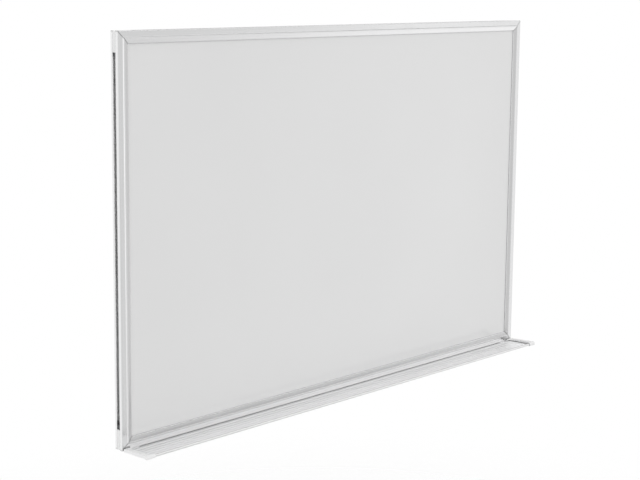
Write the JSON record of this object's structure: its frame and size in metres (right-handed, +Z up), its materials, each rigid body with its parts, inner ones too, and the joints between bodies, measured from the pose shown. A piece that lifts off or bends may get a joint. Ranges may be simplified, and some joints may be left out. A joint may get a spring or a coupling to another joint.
{
  "type": "magnetic whiteboard",
  "caption": "Wall-hung magnetic whiteboard: glossy steel panel in a slotted, mitred aluminium frame with a full-width pen tray and sliding keyhole hangers behind.",
  "frame": {"origin": "on the wall plane, in the middle of the top rail's back face", "axes": "+X to the right as a reader sees the board, +Y from the board into the wall, +Z up"},
  "size_m": [0.9, 0.074, 0.6037],
  "materials": {
    "enamel": "glossy white enamel",
    "core": "raw fibreboard",
    "zinc": "galvanised",
    "foam": "matte foam",
    "aluminium": "satin anodised",
    "cleat": "raw casting",
    "screw": "zinc plated",
    "cover": "fine matte",
    "cap": "fine matte"
  },
  "bodies": {
    "board": {"writing_sheet": "enamel", "core_board": "core", "backing_sheet": "zinc", "frame_rail_top": "aluminium", "frame_rail_bottom": "aluminium", "frame_rail_left": "aluminium", "frame_rail_right": "aluminium", "foam_strip_top": "foam", "foam_strip_bottom": "foam", "foam_strip_left": "foam", "foam_strip_right": "foam", "corner_cleat_top_left": "cleat", "corner_cleat_top_right": "cleat", "corner_cleat_bottom_left": "cleat", "corner_cleat_bottom_right": "cleat", "corner_cover_top_left": "cover", "corner_cover_top_right": "cover", "corner_cover_bottom_left": "cover", "corner_cover_bottom_right": "cover", "grub_screw_top_left_lying": "screw", "grub_screw_top_left_upright": "screw", "grub_screw_top_right_lying": "screw", "grub_screw_top_right_upright": "screw", "grub_screw_bottom_left_lying": "screw", "grub_screw_bottom_left_upright": "screw", "grub_screw_bottom_right_lying": "screw", "grub_screw_bottom_right_upright": "screw", "pen_tray": "aluminium", "tray_end_cap_left": "cap", "tray_end_cap_right": "cap", "tray_slot_nut_1": "screw", "tray_slot_nut_2": "screw", "tray_slot_nut_3": "screw", "tray_slot_nut_4": "screw", "tray_screw_1": "screw", "tray_screw_2": "screw", "tray_screw_3": "screw", "tray_screw_4": "screw"},
    "wall_hanger_left": {"wall_hanger_left": "screw"},
    "wall_hanger_right": {"wall_hanger_right": "screw"},
    "lower_fixing_plate_left": {"lower_fixing_plate_left": "screw"},
    "lower_fixing_plate_right": {"lower_fixing_plate_right": "screw"}
  },
  "joints": [
    {"name": "wall_hanger_left_slide", "type": "slide", "parent": "board", "child": "wall_hanger_left", "axis": [1, 0, 0], "range_m": [-0.11, 0.278]},
    {"name": "wall_hanger_right_slide", "type": "slide", "parent": "board", "child": "wall_hanger_right", "axis": [1, 0, 0], "range_m": [-0.278, 0.11]},
    {"name": "lower_fixing_plate_left_slide", "type": "slide", "parent": "board", "child": "lower_fixing_plate_left", "axis": [1, 0, 0], "range_m": [-0.11, 0.278]},
    {"name": "lower_fixing_plate_right_slide", "type": "slide", "parent": "board", "child": "lower_fixing_plate_right", "axis": [1, 0, 0], "range_m": [-0.278, 0.11]}
  ]
}
